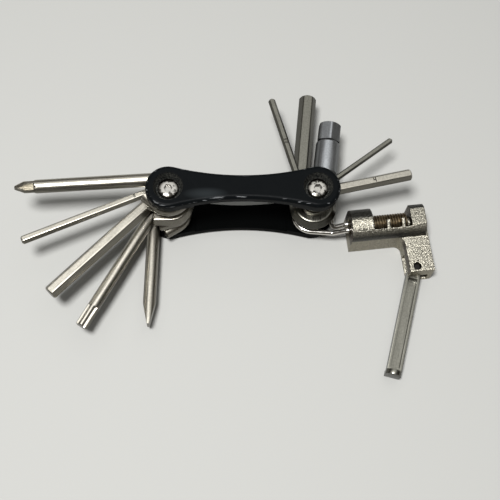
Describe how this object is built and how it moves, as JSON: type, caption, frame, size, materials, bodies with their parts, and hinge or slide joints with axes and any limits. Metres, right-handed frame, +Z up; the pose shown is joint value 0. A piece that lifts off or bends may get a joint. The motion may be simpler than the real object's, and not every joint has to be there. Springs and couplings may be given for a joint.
{
  "type": "folding multi-tool with chain tool",
  "caption": "Folding bicycle multi-tool opened out: hexagon keys, screwdrivers and an adapter hinged between two dog-bone plates, with a chain tool on a wire bail.",
  "frame": {"origin": "middle of the lower plate's underside, halfway between the two pivots", "axes": "+X from the left pivot to the right one, +Y away from the chain tool's lever, +Z up through the stack of tools"},
  "size_m": [0.1546, 0.111, 0.032],
  "materials": {
    "black_plate": "satin black coating with worn edges",
    "pivot_hardware": "polished nickel plate",
    "plated_steel": "satin nickel-plated steel",
    "adapter_steel": "smooth blue-grey steel",
    "cast_body": "pebbled nickel-plated casting",
    "driver_steel": "oily brown steel thread"
  },
  "bodies": {
    "handle": {"top_plate": "black_plate", "bottom_plate": "black_plate", "left_pivot_bolt": "pivot_hardware", "right_pivot_bolt": "pivot_hardware", "left_pivot_nut": "pivot_hardware", "right_pivot_nut": "pivot_hardware", "left_upper_bush": "pivot_hardware", "left_lower_bush": "pivot_hardware", "bail_bush": "pivot_hardware", "right_spacer": "pivot_hardware"},
    "cross": {"cross_head_driver": "plated_steel"},
    "hex3": {"hex_key_3": "plated_steel"},
    "hex5": {"hex_key_5": "plated_steel"},
    "star": {"star_head_driver": "plated_steel"},
    "slotted": {"slotted_driver": "plated_steel"},
    "hex4": {"hex_key_4": "plated_steel"},
    "hex2": {"hex_key_2": "plated_steel"},
    "hex2_5": {"hex_key_2_5": "plated_steel"},
    "hex6": {"hex_key_6": "plated_steel"},
    "adapter_arm": {"adapter_arm": "plated_steel"},
    "adapter": {"hex_adapter_8": "adapter_steel"},
    "bail": {"chain_tool_bail": "plated_steel"},
    "screw": {"driver_screw": "driver_steel", "driver_pin": "driver_steel"},
    "chain_body": {"chain_tool_body": "cast_body", "lever_pin": "plated_steel"},
    "lever": {"lever": "plated_steel"}
  },
  "joints": [
    {"name": "cross_swing", "type": "hinge", "parent": "handle", "child": "cross", "pos_m": [-0.027, 0, 0], "axis": [0, 0, 1], "range_deg": [-8, 172]},
    {"name": "hex_3_swing", "type": "hinge", "parent": "handle", "child": "hex3", "pos_m": [-0.027, 0, 0], "axis": [0, 0, 1], "range_deg": [-27, 155]},
    {"name": "hex_5_swing", "type": "hinge", "parent": "handle", "child": "hex5", "pos_m": [-0.027, 0, 0], "axis": [0, 0, 1], "range_deg": [-49, 129]},
    {"name": "star_swing", "type": "hinge", "parent": "handle", "child": "star", "pos_m": [-0.027, 0, 0], "axis": [0, 0, 1], "range_deg": [-64, 112]},
    {"name": "slotted_swing", "type": "hinge", "parent": "handle", "child": "slotted", "pos_m": [-0.027, 0, 0], "axis": [0, 0, 1], "range_deg": [-92, 90]},
    {"name": "hex_4_swing", "type": "hinge", "parent": "handle", "child": "hex4", "pos_m": [0.027, 0, 0], "axis": [0, 0, 1], "range_deg": [-12, 166]},
    {"name": "hex_2_swing", "type": "hinge", "parent": "handle", "child": "hex2", "pos_m": [0.027, 0, 0], "axis": [0, 0, 1], "range_deg": [-36, 142]},
    {"name": "hex_2_5_swing", "type": "hinge", "parent": "handle", "child": "hex2_5", "pos_m": [0.027, 0, 0], "axis": [0, 0, 1], "range_deg": [-5, 74]},
    {"name": "hex_6_swing", "type": "hinge", "parent": "handle", "child": "hex6", "pos_m": [0.027, 0, 0], "axis": [0, 0, 1], "range_deg": [-1, 78]},
    {"name": "adapter_arm_swing", "type": "hinge", "parent": "handle", "child": "adapter_arm", "pos_m": [0.027, 0, 0], "axis": [0, 0, 1], "range_deg": [-45, 0]},
    {"name": "adapter_pull", "type": "slide", "parent": "adapter_arm", "child": "adapter", "axis": [0.1444, 0.9895, 0], "range_m": [0, 0.015]},
    {"name": "chain_tool_swing", "type": "hinge", "parent": "handle", "child": "bail", "pos_m": [0.027, 0, 0], "axis": [0, 0, 1], "range_deg": [-45, 45]},
    {"name": "screw_spin", "type": "hinge", "parent": "bail", "child": "screw", "pos_m": [0.04093, -0.00742, 0.0106], "axis": [0.9948, 0.1019, 0], "range_deg": [0, 5040]},
    {"name": "chain_body_feed", "type": "slide", "parent": "bail", "child": "chain_body", "axis": [0.9948, 0.1019, 0], "range_m": [0, 0.014]},
    {"name": "lever_swing", "type": "hinge", "parent": "chain_body", "child": "lever", "pos_m": [0.06545, -0.0231, 0], "axis": [0, 0, 1], "range_deg": [-80, 12]}
  ],
  "couplings": [
    {"joint": "screw_spin", "follows": "chain_body_feed", "rad_per_m": 6283.2}
  ]
}
